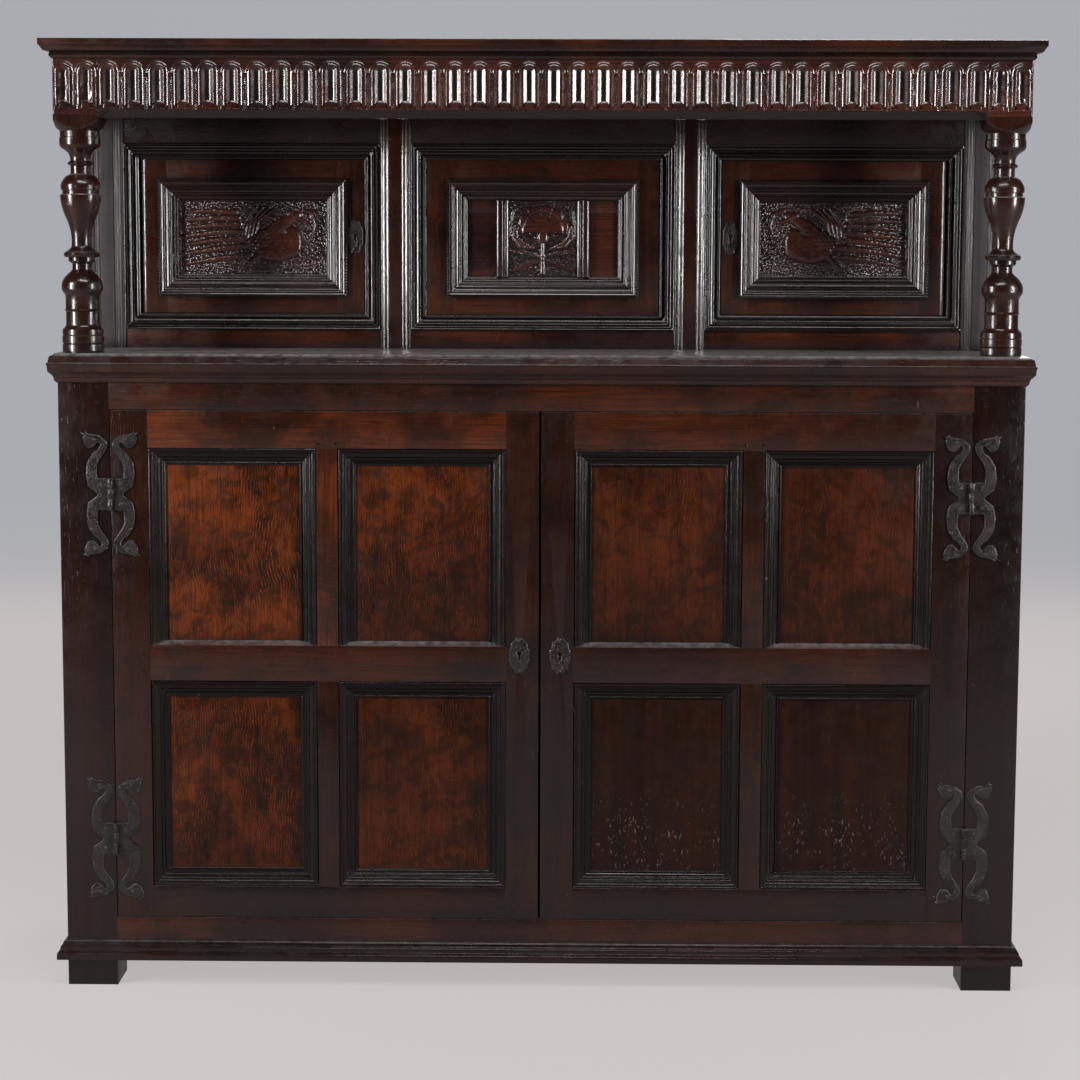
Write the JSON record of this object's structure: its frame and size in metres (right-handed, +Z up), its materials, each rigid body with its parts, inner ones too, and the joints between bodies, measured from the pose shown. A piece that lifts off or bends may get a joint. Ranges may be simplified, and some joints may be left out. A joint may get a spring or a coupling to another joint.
{
  "type": "court cupboard",
  "caption": "Joined oak court cupboard: panelled lower doors on cockshead hinges, moulded mid board, set-back upper cupboard with carved-panel doors under a fluted frieze on turned columns.",
  "frame": {"origin": "on the floor under the middle of the overall box", "axes": "X to the right as seen from the front, Y from the front to the back, +Z up; the doors face -Y"},
  "size_m": [1.68, 0.56, 1.625],
  "materials": {
    "oak_frame": "dark waxed oak, near black, semi-gloss, worn at the arrises",
    "oak_panel": "waxed quarter-sawn oak, red-brown with ray fleck, dark at the edges",
    "oak_dry": "unpolished dry oak of the hidden boards",
    "iron": "wrought iron, dark, pitted, rubbed bright on the edges"
  },
  "bodies": {
    "carcase": {"lower_front_post_left": "oak_frame", "lower_front_post_right": "oak_frame", "back_post_left": "oak_frame", "back_post_right": "oak_frame", "lower_front_rails": "oak_frame", "side_rails": "oak_frame", "side_panels": "oak_panel", "back_rails": "oak_dry", "back_boards": "oak_dry", "floor_boards": "oak_dry", "shelf_boards": "oak_dry", "shelf_bearers": "oak_dry", "base_moulding": "oak_frame", "mid_board": "oak_frame", "mid_board_moulding": "oak_frame", "upper_front_post_left": "oak_frame", "upper_front_post_right": "oak_frame", "upper_muntin_left": "oak_frame", "upper_muntin_right": "oak_frame", "upper_front_rails": "oak_frame", "bay_surrounds": "oak_frame", "centre_panel_frame": "oak_frame", "centre_panel_moulding": "oak_frame", "centre_panel_boards": "oak_panel", "centre_boss": "oak_panel", "turned_columns": "oak_frame", "frieze_front_rail": "oak_frame", "frieze_side_rails": "oak_frame", "cornice_moulding": "oak_frame", "top_boards": "oak_dry", "hinge_post_leaves": "iron", "upper_door_pivots": "iron"},
    "left_lower_door": {"left_lower_door_stiles": "oak_frame", "left_lower_door_rails": "oak_frame", "left_lower_door_panels": "oak_panel", "left_lower_door_mouldings": "oak_frame", "left_lower_door_hinge_leaves": "iron", "left_lower_door_lock": "iron"},
    "left_lower_bolt": {"left_lower_door_bolt": "iron"},
    "right_lower_door": {"right_lower_door_stiles": "oak_frame", "right_lower_door_rails": "oak_frame", "right_lower_door_panels": "oak_panel", "right_lower_door_mouldings": "oak_frame", "right_lower_door_hinge_leaves": "iron", "right_lower_door_lock": "iron"},
    "right_lower_bolt": {"right_lower_door_bolt": "iron"},
    "left_upper_door": {"left_upper_door_frame": "oak_frame", "left_upper_door_moulding": "oak_frame", "left_upper_door_panel": "oak_panel", "left_upper_door_lock": "iron"},
    "left_upper_bolt": {"left_upper_door_bolt": "iron"},
    "right_upper_door": {"right_upper_door_frame": "oak_frame", "right_upper_door_moulding": "oak_frame", "right_upper_door_panel": "oak_panel", "right_upper_door_lock": "iron"},
    "right_upper_bolt": {"right_upper_door_bolt": "iron"}
  },
  "joints": [
    {"name": "left_lower_door_hinge", "type": "hinge", "parent": "carcase", "child": "left_lower_door", "pos_m": [-0.73275, -0.2648, 0.56], "axis": [0, 0, -1], "range_deg": [0, 165]},
    {"name": "left_lower_bolt_slide", "type": "slide", "parent": "left_lower_door", "child": "left_lower_bolt", "axis": [1, 0, 0], "range_m": [0, 0.014]},
    {"name": "right_lower_door_hinge", "type": "hinge", "parent": "carcase", "child": "right_lower_door", "pos_m": [0.73275, -0.2648, 0.56], "axis": [0, 0, 1], "range_deg": [0, 165]},
    {"name": "right_lower_bolt_slide", "type": "slide", "parent": "right_lower_door", "child": "right_lower_bolt", "axis": [-1, 0, 0], "range_m": [0, 0.014]},
    {"name": "left_upper_door_pivot", "type": "hinge", "parent": "carcase", "child": "left_upper_door", "pos_m": [-0.701, -0.025, 1.297], "axis": [0, 0, -1], "range_deg": [0, 90]},
    {"name": "left_upper_bolt_slide", "type": "slide", "parent": "left_upper_door", "child": "left_upper_bolt", "axis": [1, 0, 0], "range_m": [0, 0.01]},
    {"name": "right_upper_door_pivot", "type": "hinge", "parent": "carcase", "child": "right_upper_door", "pos_m": [0.701, -0.025, 1.297], "axis": [0, 0, 1], "range_deg": [0, 90]},
    {"name": "right_upper_bolt_slide", "type": "slide", "parent": "right_upper_door", "child": "right_upper_bolt", "axis": [-1, 0, 0], "range_m": [0, 0.01]}
  ]
}
